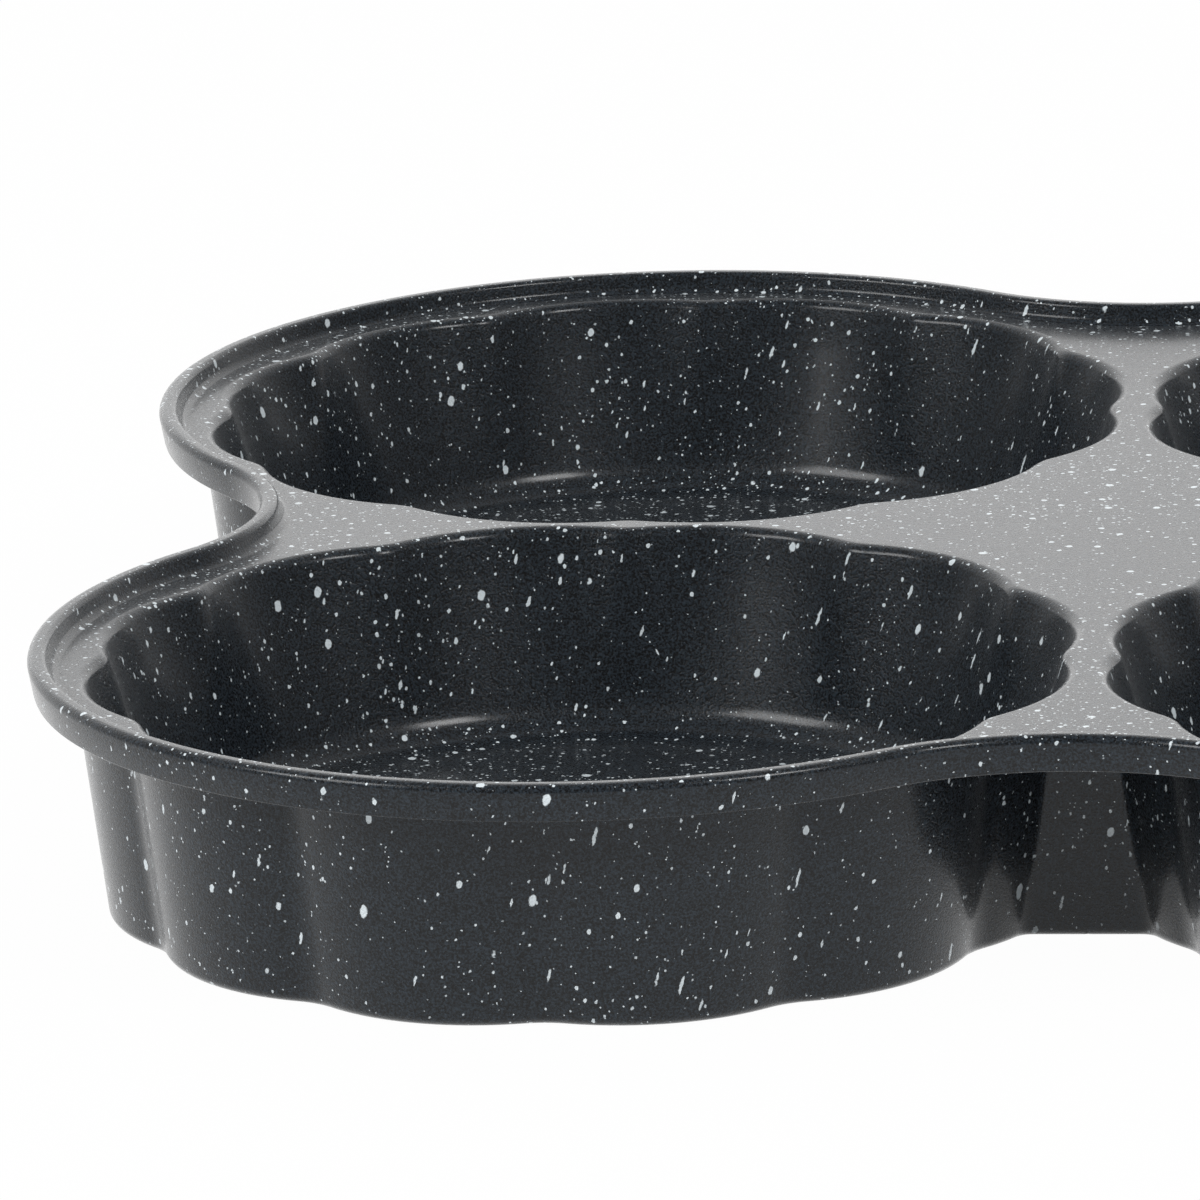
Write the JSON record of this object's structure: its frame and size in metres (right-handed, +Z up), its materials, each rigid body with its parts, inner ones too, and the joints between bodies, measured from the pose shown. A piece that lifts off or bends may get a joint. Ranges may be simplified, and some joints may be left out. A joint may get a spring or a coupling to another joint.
{
  "type": "pancake pan",
  "caption": "Cast aluminium pan with two rows of scalloped shallow cups joined by webs under a flat deck, with a raised bead round the rim and a speckled non-stick coating.",
  "frame": {"origin": "under the middle of the pan, on the surface that the flat bases of its cups stand on", "axes": "+X along the rows of three cups, +Y from the front row to the rear row, +Z up"},
  "size_m": [0.329, 0.2212, 0.0279],
  "materials": {
    "coating": "satin"
  },
  "bodies": {
    "root": {"deck": "coating", "rim_bead": "coating", "cup_front_left": "coating", "cup_front_middle": "coating", "cup_front_right": "coating", "cup_rear_left": "coating", "cup_rear_middle": "coating", "cup_rear_right": "coating"}
  },
  "joints": []
}
